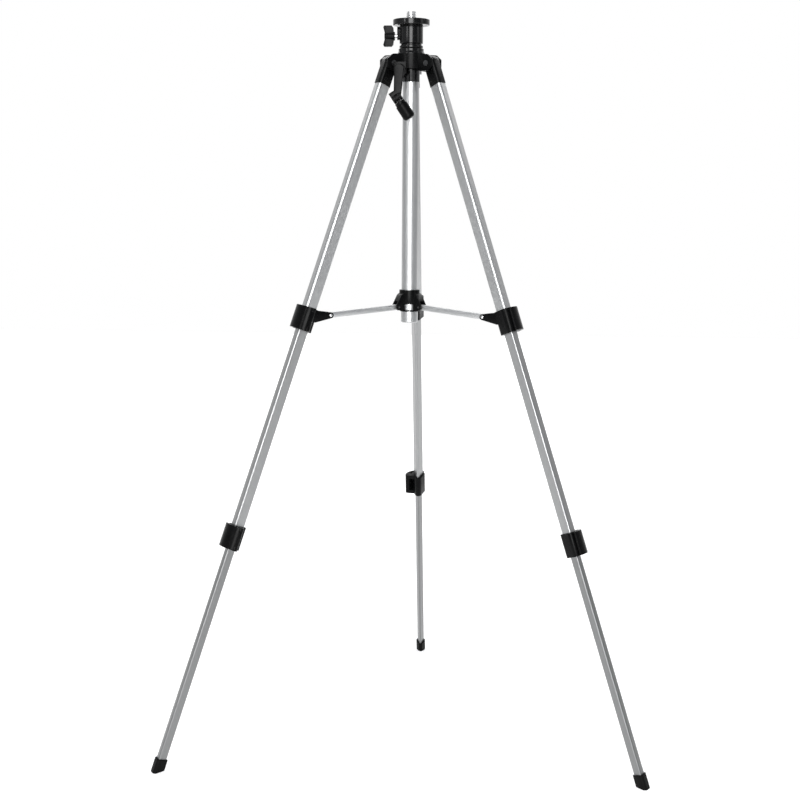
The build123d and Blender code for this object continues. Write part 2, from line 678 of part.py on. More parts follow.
with BuildPart() as grip_ferrule:
    with BuildSketch(hinge_plane()):
        Circle(KNUCKLE_RADIUS - 0.3)
    extrude(amount=TONGUE_HALF, both=True)
    with BuildSketch(hinge_plane()):
        with Locations((4.0, 0)):
            Rectangle(8.0, 7.0)
    extrude(amount=TONGUE_HALF, both=True)
    with BuildSketch(grip_plane(7.3)):
        Circle(GRIP_RADIUS - 1.2)
    extrude(amount=GRIP_START - 7.3 - 0.3)
    with BuildSketch(grip_plane(GRIP_START - 0.3)):
        Circle(2.6)
    extrude(amount=GRIP_END - GRIP_START - 4.0)
    with BuildSketch(hinge_plane()):
        Circle(1.6 + SLIP)
    extrude(amount=TONGUE_HALF + 1, both=True, mode=Mode.SUBTRACT)
finish(grip_ferrule, "grip_ferrule")

with BuildPart() as crank_grip:
    with BuildSketch(grip_plane(GRIP_START)):
        Circle(GRIP_RADIUS)
    extrude(amount=GRIP_END - GRIP_START)
    far_end = crank_grip.faces().sort_by_distance(grip_plane(GRIP_END).origin)[0]
    fillet(far_end.edges(), 4.5)
    near_end = crank_grip.faces().sort_by_distance(grip_plane(GRIP_START).origin)[0]
    chamfer(near_end.edges(), 0.7)
    with BuildSketch(grip_plane(GRIP_START)):
        Circle(2.6 + SLIP)
    extrude(amount=GRIP_END - GRIP_START - 3.6, mode=Mode.SUBTRACT)
finish(crank_grip, "crank_grip")

# ---- spreader -----------------------------------------------------------------------
HUB_BORE = TUBE_RADIUS + SLIP
HUB_RADIUS = 16.25
HUB_PIN = 1.6
FORK_GAP = STRUT_WIDTH / 2 + GAP
FORK_HALF = FORK_GAP + FORK_THICKNESS
RING_TOP_Z = HUB_PIN_Z - 4.8

with BuildPart() as spreader_hub:
    with BuildSketch(Plane.XY.offset(HUB_PIN_Z + 4.8)):
        Circle(HUB_RADIUS)
    extrude(amount=HUB_TOP_Z - HUB_PIN_Z - 4.8)
    for azimuth in LEG_AZIMUTHS:
        with BuildSketch(radial_plane(azimuth)):
            with BuildLine():
                Polyline(
                    (13.2, RING_TOP_Z),
                    (HUB_PIN_RADIUS + 2.0, RING_TOP_Z),
                    (HUB_PIN_RADIUS + 4.2, HUB_PIN_Z - 2.0),
                    (HUB_PIN_RADIUS + 4.2, HUB_PIN_Z + 3.5),
                    (HUB_RADIUS + 2.0, HUB_TOP_Z - 8.0),
                    (13.2, HUB_TOP_Z - 4.0),
                    close=True,
                )
            make_face()
        extrude(amount=FORK_HALF, both=True)
        with BuildSketch(plan_plane(azimuth, RING_TOP_Z)):
            with Locations((HUB_PIN_RADIUS + 5.0, 0)):
                Rectangle(22.0, 2 * FORK_GAP)
        extrude(amount=14.4, mode=Mode.SUBTRACT)
        with BuildSketch(radial_plane(azimuth)):
            with Locations((HUB_PIN_RADIUS, HUB_PIN_Z)):
                Circle(HUB_PIN + SEAT)
        extrude(amount=FORK_HALF + 1, both=True, mode=Mode.SUBTRACT)
    with BuildSketch(Plane.XY.offset(RING_TOP_Z)):
        Circle(HUB_BORE)
    extrude(amount=HUB_TOP_Z - RING_TOP_Z, mode=Mode.SUBTRACT)
finish(spreader_hub, "spreader_hub")

with BuildPart() as hub_ring:
    with BuildSketch(Plane.XY.offset(HUB_BOTTOM_Z)):
        Circle(15.4)
        Circle(HUB_BORE, mode=Mode.SUBTRACT)
    extrude(amount=RING_TOP_Z - HUB_BOTTOM_Z)
finish(hub_ring, "hub_ring")

with BuildPart() as hub_pins:
    for azimuth in LEG_AZIMUTHS:
        with BuildSketch(radial_plane(azimuth)):
            with Locations((HUB_PIN_RADIUS, HUB_PIN_Z)):
                Circle(HUB_PIN)
        extrude(amount=FORK_HALF, both=True)
finish(hub_pins, "hub_pins")


def strut_plane(azimuth):
    """Plane down a strut's middle: x from the hub pin towards the leg, y upward."""
    ux, uy = unit(azimuth)
    slope = math.radians(STRUT_SLOPE)
    return Plane(
        origin=(HUB_PIN_RADIUS * ux, HUB_PIN_RADIUS * uy, HUB_PIN_Z),
        x_dir=(math.cos(slope) * ux, math.cos(slope) * uy, -math.sin(slope)),
        z_dir=(uy, -ux, 0),
    )


STRUT_WALL = 1.3
for number, azimuth in enumerate(LEG_AZIMUTHS, start=1):
    with BuildPart() as strut:
        with BuildSketch(strut_plane(azimuth)):
            with Locations((STRUT_LENGTH / 2, 0)):
                SlotCenterToCenter(STRUT_LENGTH, STRUT_HEIGHT)
        extrude(amount=STRUT_WIDTH / 2, both=True)
        with BuildSketch(strut_plane(azimuth)):
            with Locations((STRUT_LENGTH / 2, -STRUT_WALL)):
                Rectangle(STRUT_LENGTH - 18.0, STRUT_HEIGHT)
        extrude(amount=STRUT_WIDTH / 2 - STRUT_WALL, both=True, mode=Mode.SUBTRACT)
        with BuildSketch(strut_plane(azimuth)):
            Circle(HUB_PIN + SLIP)
        extrude(amount=STRUT_WIDTH, both=True, mode=Mode.SUBTRACT)
    finish(strut, f"strut_{number}")

# ---- legs ---------------------------------------------------------------------------
HINGE_N = 2.0
HINGE_T = 20.0
BARREL_RADIUS = 4.6
TRUNNION_RADIUS = 1.6
KNUCKLE_LENGTH = 6.5
KNUCKLE_ROOT = (1.0, 7.0)
KNUCKLE_ROOT_RADIUS = 4.5
LEVER_GAP = 0.2
LEVER_TIP_T = -9.5
LUG_TIP_RADIUS = 4.6
LUG_ROOT_RADIUS = 5.0
COLLAR_FLOOR = 6.0  # a collar's end under its tube, where the next section comes out
FOOT_LENGTH = 32.0
FOOT_WALL = 2.3
FOOT_SOCKET = 12.0
UPPER_TUBE_TOP_S = 5.0


def lock_collar(azimuth, outer, inner, middle_s, side_shift, lug):
    """Clamp collar on a section's lower end, with two knuckles for its lever."""
    hinge = (HINGE_N, HINGE_T + side_shift)
    bottom_s = middle_s + LOCK_HALF
    with BuildPart() as collar:
        with BuildSketch(leg_plane(azimuth, bottom_s)):
            section(outer, LOCK_WALL)
        extrude(amount=LOCK_LENGTH)
        for level in (0.0, LOCK_LENGTH - KNUCKLE_LENGTH):
            with BuildSketch(leg_plane(azimuth, bottom_s - level)):
                with Locations(hinge):
                    Circle(BARREL_RADIUS)
                with Locations(KNUCKLE_ROOT):
                    Circle(KNUCKLE_ROOT_RADIUS)
                make_hull()
            extrude(amount=KNUCKLE_LENGTH)
        if lug:
            with BuildSketch(leg_side_plane(azimuth)):
                with Locations((LUG_N, -LUG_S)):
                    Circle(LUG_TIP_RADIUS)
                with Locations((-outer[0] / 2, -LUG_S - 5.5)):
                    Circle(LUG_ROOT_RADIUS)
                with Locations((-outer[0] / 2, -LUG_S - 14.0)):
                    Circle(LUG_ROOT_RADIUS)
                make_hull()
            extrude(amount=FORK_HALF, both=True)
            with BuildSketch(leg_side_plane(azimuth)):
                with Locations((-outer[0] / 2 - 1.6 - 30.0, -LUG_S - 10.0)):
                    Rectangle(60.0, 80.0)
            extrude(amount=FORK_GAP, both=True, mode=Mode.SUBTRACT)
        with BuildSketch(leg_plane(azimuth, bottom_s - COLLAR_FLOOR)):
            section(outer, SEAT)
        extrude(amount=LOCK_LENGTH, mode=Mode.SUBTRACT)
        with BuildSketch(leg_plane(azimuth, bottom_s + 1.0)):
            section(inner, SLIP)
        extrude(amount=COLLAR_FLOOR + 2.0, mode=Mode.SUBTRACT)
        with BuildSketch(leg_plane(azimuth, bottom_s)):
            with Locations(hinge):
                Circle(TRUNNION_RADIUS + SLIP)
        extrude(amount=LOCK_LENGTH, mode=Mode.SUBTRACT)
    return collar


def lock_lever(azimuth, middle_s, out_shift, side_shift):
    """Flip lever round the outside of a collar, with moulded trunnions in its knuckles."""
    hinge = (HINGE_N, HINGE_T + side_shift)
    bottom_s = middle_s + LOCK_HALF
    with BuildPart() as lever:
        with BuildSketch(leg_plane(azimuth, bottom_s - 0.5)):
            with BuildLine():
                outer = Spline(
                    (hinge[0] - 0.5, hinge[1] + BARREL_RADIUS),
                    (12.0 + out_shift, 21.6 + side_shift),
                    (19.0 + out_shift, 10.5),
                    (20.5 + out_shift, 0.0),
                    (18.6 + out_shift, LEVER_TIP_T),
                )
                inner = Spline(
                    (15.4 + out_shift, LEVER_TIP_T),
                    (16.3 + out_shift, 0.0),
                    (15.2 + out_shift, 9.0),
                    (9.6 + out_shift, 16.6 + side_shift),
                    (hinge[0] + 2.0, hinge[1] - BARREL_RADIUS + 1.2),
                )
                Line(outer @ 1, inner @ 0)
                Line(inner @ 1, outer @ 0)
            make_face()
        extrude(amount=LOCK_LENGTH - 1.0)
        tip = lever.edges().filter_by(Axis((0, 0, 0), leg_up(azimuth)))
        tip = tip.sort_by_distance(leg_plane(azimuth, middle_s).from_local_coords((17, LEVER_TIP_T, 0)))
        fillet(tip[0:2], 1.1)
        for level in (-0.5, LOCK_LENGTH - KNUCKLE_LENGTH - LEVER_GAP):
            with BuildSketch(leg_plane(azimuth, bottom_s - level)):
                with Locations(hinge):
                    Circle(BARREL_RADIUS + 0.5)
                with Locations(KNUCKLE_ROOT):
                    Circle(KNUCKLE_ROOT_RADIUS + 0.5)
                make_hull()
            extrude(amount=KNUCKLE_LENGTH + LEVER_GAP + 0.5, mode=Mode.SUBTRACT)
        with BuildSketch(leg_plane(azimuth, bottom_s - KNUCKLE_LENGTH - LEVER_GAP)):
            with Locations(hinge):
                Circle(BARREL_RADIUS)
        extrude(amount=LOCK_LENGTH - 2 * (KNUCKLE_LENGTH + LEVER_GAP))
        with BuildSketch(leg_plane(azimuth, bottom_s - 0.4)):
            with Locations(hinge):
                Circle(TRUNNION_RADIUS)
        extrude(amount=LOCK_LENGTH - 0.8)
    return lever


def leg_up(azimuth):
    """Unit vector up a leg."""
    ux, uy = unit(azimuth)
    return (-math.sin(TILT) * ux, -math.sin(TILT) * uy, math.cos(TILT))


def leg_tube(azimuth, profile, top_s, end_s):
    """Extruded section with an even wall."""
    with BuildPart() as tube:
        with BuildSketch(leg_plane(azimuth, end_s)):
            section(profile)
        extrude(amount=end_s - top_s)
        with BuildSketch(leg_plane(azimuth, end_s)):
            section(profile, -TUBE_WALL)
        extrude(amount=end_s - top_s, mode=Mode.SUBTRACT)
    return tube


def leg_sleeve(azimuth):
    """Moulded head that joins an upper tube to the crown."""
    with BuildPart() as sleeve:
        with BuildSketch(leg_plane(azimuth, SLEEVE_END_S)):
            section(UPPER, SLEEVE_GROW)
        extrude(amount=SLEEVE_END_S + 30.0)
        with BuildSketch(leg_side_plane(azimuth)):
            with Locations((0, -PIVOT_S)):
                Circle(SLEEVE_HEAD_RADIUS)
            with Locations((0, -PIVOT_S - 30.0)):
                Rectangle(2 * SLEEVE_HEAD_RADIUS, 60.0)
        extrude(amount=SLOT_HALF, both=True, mode=Mode.INTERSECT)
        with BuildSketch(leg_plane(azimuth, SLEEVE_END_S)):
            section(UPPER, SEAT)
        extrude(amount=SLEEVE_END_S - UPPER_TUBE_TOP_S, mode=Mode.SUBTRACT)
        with BuildSketch(radial_plane(azimuth)):
            with Locations((PIVOT_R, PIVOT_Z)):
                Circle(PIVOT_PIN_RADIUS + SLIP)
        extrude(amount=EAR_HALF, both=True, mode=Mode.SUBTRACT)
    return sleeve


def foot(azimuth):
    """Rubber foot over the lower tube's end, its sole flat on the ground."""
    with BuildPart() as rubber:
        with BuildSketch(leg_plane(azimuth, FOOT_TOP_S + FOOT_LENGTH)):
            section(LOWER, FOOT_WALL)
        extrude(amount=FOOT_LENGTH)
        with BuildSketch(leg_plane(azimuth, FOOT_TOP_S + FOOT_SOCKET)):
            section(LOWER, SEAT)
        extrude(amount=FOOT_SOCKET + 2.0, mode=Mode.SUBTRACT)
        with BuildSketch(Plane.XY.offset(GROUND_Z)):
            Circle(600.0)
        extrude(amount=-40.0, mode=Mode.SUBTRACT)
    return rubber


for number, azimuth in enumerate(LEG_AZIMUTHS, start=1):
    finish(leg_sleeve(azimuth), f"leg_sleeve_{number}")
    finish(leg_tube(azimuth, UPPER, UPPER_TUBE_TOP_S, UPPER_TUBE_END_S), f"upper_tube_{number}")
    finish(lock_collar(azimuth, UPPER, MIDDLE, UPPER_LOCK_S, 0.0, True), f"upper_lock_collar_{number}")
    finish(lock_lever(azimuth, UPPER_LOCK_S, 0.0, 0.0), f"upper_lock_lever_{number}")
    finish(leg_tube(azimuth, MIDDLE, MIDDLE_TOP_S, MIDDLE_END_S), f"middle_tube_{number}")
    finish(lock_collar(azimuth, MIDDLE, LOWER, LOWER_LOCK_S, -1.0, False), f"lower_lock_collar_{number}")
    finish(lock_lever(azimuth, LOWER_LOCK_S, -1.5, -1.0), f"lower_lock_lever_{number}")
    finish(leg_tube(azimuth, LOWER, LOWER_TOP_S, FOOT_TOP_S + FOOT_SOCKET), f"lower_tube_{number}")
    finish(foot(azimuth), f"foot_{number}")
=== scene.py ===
import json
import math
import bmesh
import bpy
from mathutils import Matrix, Quaternion, Vector

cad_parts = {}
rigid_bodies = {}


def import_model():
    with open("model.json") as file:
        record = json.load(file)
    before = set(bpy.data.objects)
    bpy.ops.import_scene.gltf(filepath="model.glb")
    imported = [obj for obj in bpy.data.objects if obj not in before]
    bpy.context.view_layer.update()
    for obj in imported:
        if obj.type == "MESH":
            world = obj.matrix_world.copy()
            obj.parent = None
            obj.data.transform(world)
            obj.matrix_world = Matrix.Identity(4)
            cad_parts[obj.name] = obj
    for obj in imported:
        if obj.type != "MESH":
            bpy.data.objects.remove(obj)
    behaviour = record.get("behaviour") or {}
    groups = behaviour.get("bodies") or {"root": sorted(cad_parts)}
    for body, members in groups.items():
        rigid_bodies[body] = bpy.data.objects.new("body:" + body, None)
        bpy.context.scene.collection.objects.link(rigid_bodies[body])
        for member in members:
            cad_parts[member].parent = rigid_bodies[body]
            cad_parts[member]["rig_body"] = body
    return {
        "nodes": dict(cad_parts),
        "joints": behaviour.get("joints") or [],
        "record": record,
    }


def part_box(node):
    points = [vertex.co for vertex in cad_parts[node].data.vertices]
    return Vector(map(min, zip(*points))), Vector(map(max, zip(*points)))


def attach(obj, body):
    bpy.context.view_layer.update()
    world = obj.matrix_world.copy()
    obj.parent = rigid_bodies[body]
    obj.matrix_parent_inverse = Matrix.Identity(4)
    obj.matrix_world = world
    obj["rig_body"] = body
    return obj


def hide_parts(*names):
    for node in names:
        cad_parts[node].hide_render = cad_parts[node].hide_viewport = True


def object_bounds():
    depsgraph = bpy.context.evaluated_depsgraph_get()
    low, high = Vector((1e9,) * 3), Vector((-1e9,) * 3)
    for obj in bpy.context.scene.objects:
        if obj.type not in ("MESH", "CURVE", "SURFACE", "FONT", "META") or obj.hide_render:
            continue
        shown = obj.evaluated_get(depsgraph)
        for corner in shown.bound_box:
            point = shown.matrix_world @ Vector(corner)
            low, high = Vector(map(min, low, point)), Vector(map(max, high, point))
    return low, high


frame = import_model()
CAD_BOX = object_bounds()

# An instrument tripod: the CAD frame gives its shape and motion, and this script gives it
# its finish and its small detail. Metres, +Z up, origin at the middle of the platform's
# top face.

GROUND_Z = CAD_BOX[0][2]
LEGS = (1, 2, 3)
NODES = frame["nodes"]
JOINTS = {joint["name"]: joint for joint in frame["joints"]}
SLOTS = {part["node"]: part["material_slot"] for part in frame["record"]["subparts"]}
UP = Vector((0, 0, 1))


# ---- sizes of the added detail ------------------------------------------------------
THREAD_PITCH = 0.0254 / 11  # 11 turns per inch
THREAD_DEPTH = 0.0013
THREAD_CREST = 0.12  # share of half a turn that is flat at the crest
THREAD_FLANK = 0.66  # share of half a turn that the flank takes
ROWS_PER_TURN = 10
STUD_RADIUS = 0.0079375  # 5/8 in across
STUD_CHAMFER = 0.0008
STUD_SHANK = 0.005  # radius of the stud inside the platform
STUD_STEPS = 72

RECESS_RADIUS = STUD_RADIUS + 0.001  # round the stud's foot
RECESS_DEPTH = 0.0006
PLATFORM_BORE = STUD_SHANK + 0.00005
PLATFORM_STEPS = 96
RIM_RADIUS = 0.0011  # rounding of the platform's rim
RIM_STEPS = 5
GROOVE_RADII = (0.0245, 0.0215, 0.0185, 0.0155, 0.0125)
GROOVE_HALF = 0.0005  # half the width of a groove at the face
GROOVE_FLOOR = 0.6  # share of that width at its floor
GROOVE_DEPTH = 0.0005

STRUT_SLOPE = 4.5  # degrees down from the hub to the collar
STRUT_LENGTH = 0.11785  # between the centres of its pivots
FORK_FACE = 0.0083  # from the fork's middle to the outside of a plate
RIVET_RADIUS = 0.0023
RIVET_HEIGHT = 0.0009
RIVET_STEPS = 24

SCREW_COUNT = 3
SCREW_CIRCLE = 0.0066  # radius of the circle that the screws stand on
SCREW_RADIUS = 0.0014
SCREW_HEIGHT = 0.0007
SCREW_STEPS = 20

BUBBLE_DRIFT = (0.0006, -0.0004)  # the bubble's place, off the vial's middle
BUBBLE_RADIUS = 0.0013
BUBBLE_HEIGHT = 0.00018
BUBBLE_STEPS = 28
TARGET_INNER = 0.0021
TARGET_OUTER = 0.0024
TARGET_HEIGHT = 0.0001
TARGET_STEPS = 40

DOME_WALL = 0.3  # share of a domed head's height that is a straight wall
DOME_STEPS = 5

WELD = 2e-6  # CAD vertices closer than this are one
SEAM = 1e-7  # the same, where a turned profile closes on itself
FLAT_ANGLE = 1.0  # degrees: faces that turn less than this are merged
SHARP_ANGLE = 32.0  # degrees: edges that turn more than this are rounded
MOULDED_CREASE = 40  # degrees: edges that stay crisp in the shading of moulded pieces
TURNED_CREASE = 35  # degrees: the same for turned pieces
ROUNDED = (  # node, rounding, segments
    ("crown_body", 0.0011, 3),
    ("spreader_hub", 0.0011, 3),
    ("crown_top_ring", 0.0004, 2),
    ("neck_collar", 0.0004, 2),
    ("hub_ring", 0.0004, 2),
    ("gear_housing_cover", 0.0004, 2),
    ("level_housing", 0.0004, 2),
    ("column_top_plug", 0.0004, 2),
    ("wing_knob", 0.0017, 4),
    ("crank_arm", 0.0012, 3),
    ("grip_ferrule", 0.0006, 3),
    ("head_sleeve", 0.0008, 3),
)
ROUNDED_PER_LEG = (
    ("leg_sleeve", 0.0010, 3),
    ("upper_lock_collar", 0.0009, 3),
    ("lower_lock_collar", 0.0009, 3),
    ("upper_lock_lever", 0.0015, 4),
    ("lower_lock_lever", 0.0015, 4),
    ("foot", 0.0014, 4),
    ("strut", 0.0003, 2),
)


# ---- camera, light and floor --------------------------------------------------------
CAMERA_PLACE = (0.1433, -2.2828, -0.2777)
CAMERA_AIM = (-0.0688, 0.99763)  # level direction of the view
CAMERA_PITCH = 7.91  # degrees down
CAMERA_ROLL = 0.35  # degrees
CAMERA_LENS = 64.64
SENSOR_WIDTH = 36.0
FAR_CLIP = 50.0

MIDDLE = (0, 0, -0.5)  # about half-way up the tripod
LIGHTS = (  # name, place, target, size, watts
    ("key", (-1.9, -2.4, 1.2), MIDDLE, (0.4, 2.4), 22),
    ("edge", (0.05, -3.4, 0.5), MIDDLE, (1.6, 3.0), 150),
    ("fill", (2.8, -0.8, 0.9), MIDDLE, (1.0, 2.2), 8),
    ("top", (0.0, 0.3, 2.6), (0, 0.3, 0), (2.6, 2.6), 26),
    ("sweep", (0.0, 5.5, 2.6), (0.0, 6.5, GROUND_Z), (9.0, 6.0), 420),
)
WORLD_LEFT = (0.5, 0.51, 0.53)  # surround on the camera's side, left and right
WORLD_RIGHT = (0.2, 0.21, 0.23)
WORLD_SIDE = (-0.7, 0.7)  # X of the direction, from all left colour to all right
WORLD_TURN = (-0.1, 0.9)  # Y of the direction, from those colours to white
FLOOR_HALF = 7.0


def make_camera():
    data = bpy.data.cameras.new("camera")
    data.lens = CAMERA_LENS
    data.sensor_width = SENSOR_WIDTH
    data.clip_end = FAR_CLIP
    camera = bpy.data.objects.new("camera", data)
    bpy.context.scene.collection.objects.link(camera)
    level = Vector((CAMERA_AIM[0], CAMERA_AIM[1], 0)).normalized()
    aim = level * math.cos(math.radians(CAMERA_PITCH))
    aim.z = -math.sin(math.radians(CAMERA_PITCH))
    camera.location = CAMERA_PLACE
    roll = Quaternion(UP, math.radians(CAMERA_ROLL))
    camera.rotation_euler = (aim.to_track_quat("-Z", "Y") @ roll).to_euler()
    bpy.context.scene.camera = camera


def area_light(name, place, target, size, power):
    data = bpy.data.lights.new(name, "AREA")
    data.shape = "RECTANGLE"
    data.size, data.size_y = size
    data.energy = power
    light = bpy.data.objects.new(name, data)
    bpy.context.scene.collection.objects.link(light)
    light.location = place
    toward = Vector(target) - Vector(place)
    light.rotation_euler = toward.to_track_quat("-Z", "Y").to_euler()


def make_world():
    """Soft surround: white beyond the object, light grey behind the camera."""
    world = bpy.data.worlds.new("studio")
    bpy.context.scene.world = world
    world.use_nodes = True
    tree = world.node_tree
    coords = tree.nodes.new("ShaderNodeTexCoord")
    split = tree.nodes.new("ShaderNodeSeparateXYZ")
    tree.links.new(coords.outputs["Generated"], split.inputs["Vector"])
    depth = ramp(tree, split.outputs["Y"], 0.0, 1.0, *WORLD_TURN)
    side = ramp(tree, split.outputs["X"], 0.0, 1.0, *WORLD_SIDE)
    front = mixed(tree, side, WORLD_LEFT, WORLD_RIGHT)
    blend = tree.nodes.new("ShaderNodeMix")
    blend.data_type = "RGBA"
    tree.links.new(depth, blend.inputs["Factor"])
    tree.links.new(front, blend.inputs["A"])
    blend.inputs["B"].default_value = (1, 1, 1, 1)
    tree.links.new(blend.outputs["Result"], tree.nodes["Background"].inputs["Color"])


def make_floor():
    """A wide pale floor."""
    half = FLOOR_HALF
    corners = [(-half, -half), (half, -half), (half, half), (-half, half)]
    data = bpy.data.meshes.new("floor")
    data.from_pydata([(x, y, GROUND_Z) for x, y in corners], [], [(0, 1, 2, 3)])
    floor = bpy.data.objects.new("floor", data)
    bpy.context.scene.collection.objects.link(floor)
    data.materials.append(floor_material())


# ---- material tools -----------------------------------------------------------------
def new_material(name):
    """A material with its node tree, principled shader and object coordinates."""
    material = bpy.data.materials.new(name)
    material.use_nodes = True
    tree = material.node_tree
    shader = tree.nodes["Principled BSDF"]
    coords = tree.nodes.new("ShaderNodeTexCoord")
    return material, tree, shader, coords.outputs["Object"]


def tinted(tone, tint):
    """A grey tone with its three channels scaled by tint."""
    return tuple(tone * share for share in tint)


def noise(tree, vector, scale, detail, roughness=0.55):
    node = tree.nodes.new("ShaderNodeTexNoise")
    node.inputs["Scale"].default_value = scale
    node.inputs["Detail"].default_value = detail
    node.inputs["Roughness"].default_value = roughness
    tree.links.new(vector, node.inputs["Vector"])
    return node.outputs["Fac"]


def ramp(tree, value, low, high, start, end):
    """Maps value from start..end to low..high, held at both ends."""
    node = tree.nodes.new("ShaderNodeMapRange")
    node.inputs["From Min"].default_value = start
    node.inputs["From Max"].default_value = end
    node.inputs["To Min"].default_value = low
    node.inputs["To Max"].default_value = high
    tree.links.new(value, node.inputs["Value"])
    return node.outputs["Result"]


def mixed(tree, factor, first, second):
    node = tree.nodes.new("ShaderNodeMix")
    node.data_type = "RGBA"
    node.inputs["A"].default_value = (*first, 1)
    node.inputs["B"].default_value = (*second, 1)
    tree.links.new(factor, node.inputs["Factor"])
    return node.outputs["Result"]


def colour_between(tree, shader, factor, first, second):
    """Varies the shader's base colour from first to second."""
    tree.links.new(mixed(tree, factor, first, second), shader.inputs["Base Color"])


def rough_between(tree, shader, factor, low, high, start=0.3, end=0.7):
    """Varies the shader's roughness from low to high as factor goes from start to end."""
    tree.links.new(ramp(tree, factor, low, high, start, end), shader.inputs["Roughness"])


def bumped(tree, shader, height, distance, strength=0.5):
    node = tree.nodes.new("ShaderNodeBump")
    node.inputs["Distance"].default_value = distance
    node.inputs["Strength"].default_value = strength
    tree.links.new(height, node.inputs["Height"])
    tree.links.new(node.outputs["Normal"], shader.inputs["Normal"])


def along(tree, coords, axis, squeeze):
    """Coordinates turned so that Z runs along axis, with that direction squeezed."""
    turn = tree.nodes.new("ShaderNodeMapping")
    turn.vector_type = "POINT"
    back = Vector(axis).to_track_quat("Z", "Y").inverted()
    turn.inputs["Rotation"].default_value = back.to_euler()
    tree.links.new(coords, turn.inputs["Vector"])
    scale = tree.nodes.new("ShaderNodeMapping")
    scale.vector_type = "POINT"
    scale.inputs["Scale"].default_value = (1, 1, squeeze)
    tree.links.new(turn.outputs["Vector"], scale.inputs["Vector"])
    return scale.outputs["Vector"]


# ---- finishes -----------------------------------------------------------------------
# Painted shade: the tubes' metal is given a darker tone down the leg, section by section,
# so that the lower tubes look less lit.
SECTION_SHADE_TONES = {"upper_tube": 0.42, "middle_tube": 0.31, "lower_tube": 0.22}
GRAIN_SHARE = 0.35  # of the grain in the height that the die lines give an extrusion


def floor_material():
    material, tree, shader, coords = new_material("pale_floor")
    cloud = noise(tree, coords, scale=1.5, detail=2.0)
    colour_between(tree, shader, cloud, (0.93, 0.93, 0.93), (0.96, 0.96, 0.96))
    shader.inputs["Roughness"].default_value = 0.85
    shader.inputs["Specular IOR Level"].default_value = 0.1
    shader.inputs["Emission Color"].default_value = (1, 1, 1, 1)
    shader.inputs["Emission Strength"].default_value = 0.12
    return material


def anodised(name, axis, tone=0.44, rough=0.36):
    """Satin anodised extrusion: die lines and a faint streak of tone along axis."""
    material, tree, shader, coords = new_material(name)
    lengthwise = along(tree, coords, axis, 0.012)
    streaks = noise(tree, lengthwise, scale=900, detail=4.0, roughness=0.6)
    bands = noise(tree, along(tree, coords, axis, 0.05), scale=160, detail=2.0)
    grain = noise(tree, coords, scale=5200, detail=2.0)
    colour_between(tree, shader, bands, tinted(tone, (0.93, 0.94, 0.945)),
                   tinted(tone, (1.04, 1.05, 1.05)))
    shader.inputs["Metallic"].default_value = 1.0
    rough_between(tree, shader, streaks, rough - 0.05, rough + 0.08)
    height = tree.nodes.new("ShaderNodeMath")
    height.operation = "MULTIPLY_ADD"
    height.inputs[1].default_value = GRAIN_SHARE
    tree.links.new(grain, height.inputs[0])
    tree.links.new(streaks, height.inputs[2])
    bumped(tree, shader, height.outputs["Value"], 0.000012, 0.6)
    return material


def moulded(name, tone, rough, texture_depth, gloss):
    """Black moulded plastic with a fine spark-eroded texture and handling marks."""
    material, tree, shader, coords = new_material(name)
    marks = noise(tree, coords, scale=60, detail=5.0, roughness=0.65)
    pits = noise(tree, coords, scale=2600, detail=2.0, roughness=0.5)
    colour_between(tree, shader, marks, tinted(tone, (0.8, 0.82, 0.86)),
                   tinted(tone, (1.35, 1.38, 1.45)))
    rough_between(tree, shader, marks, rough - 0.05, rough + 0.09, start=0.35)
    shader.inputs["Specular IOR Level"].default_value = gloss
    bumped(tree, shader, pits, texture_depth)
    return material


def rubber():
    """Black rubber with dust in its grain."""
    material, tree, shader, coords = new_material("foot_rubber")
    dust = noise(tree, coords, scale=140, detail=4.0, roughness=0.7)
    colour_between(tree, shader, dust, (0.0012, 0.0012, 0.0014), (0.005, 0.005, 0.0045))
    rough_between(tree, shader, dust, 0.45, 0.65)
    shader.inputs["Specular IOR Level"].default_value = 0.06
    bumped(tree, shader, noise(tree, coords, scale=1800, detail=3.0), 0.00006)
    return material


def steel(name, tone, rough, axis):
    """Turned steel, its fine tool lines round the axis."""
    material, tree, shader, coords = new_material(name)
    lines = noise(tree, along(tree, coords, axis, 40.0), scale=220, detail=2.0)
    tarnish = noise(tree, coords, scale=300, detail=3.0)
    colour_between(tree, shader, tarnish, tinted(tone, (0.86, 0.86, 0.87)),
                   tinted(tone, (1.05, 1.05, 1.04)))
    shader.inputs["Metallic"].default_value = 1.0
    rough_between(tree, shader, lines, rough - 0.06, rough + 0.1)
    bumped(tree, shader, lines, 0.00001)
    return material


def vial_liquid():
    """The level's green liquid under its glass."""
    material, tree, shader, coords = new_material("vial_liquid")
    tint = noise(tree, coords, scale=400, detail=1.0)
    colour_between(tree, shader, tint, (0.62, 0.82, 0.12), (0.7, 0.9, 0.2))
    shader.inputs["Roughness"].default_value = 0.04
    shader.inputs["Coat Weight"].default_value = 1.0
    return material


def bubble_finish():
    """The level's bubble, paler than the liquid."""
    material, tree, shader, coords = new_material("vial_bubble")
    tint = noise(tree, coords, scale=900, detail=1.0)
    colour_between(tree, shader, tint, (0.86, 0.93, 0.6), (0.93, 0.97, 0.72))
    shader.inputs["Roughness"].default_value = 0.1
    return material


# ---- shape tools --------------------------------------------------------------------
def smooth_by_angle(data, angle):
    """Smooth shading with edges sharper than angle kept crisp."""
    data.shade_smooth()
    data.set_sharp_from_angle(angle=math.radians(angle))


def add_piece(name, mesh, material, body):
    """Turns a bmesh into a smooth-shaded object that rides on a CAD body."""
    bmesh.ops.recalc_face_normals(mesh, faces=mesh.faces)
    data = bpy.data.meshes.new(name)
    mesh.to_mesh(data)
    mesh.free()
    data.shade_smooth()
    data.materials.append(material)
    piece = bpy.data.objects.new(name, data)
    bpy.context.scene.collection.objects.link(piece)
    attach(piece, body)
    return piece


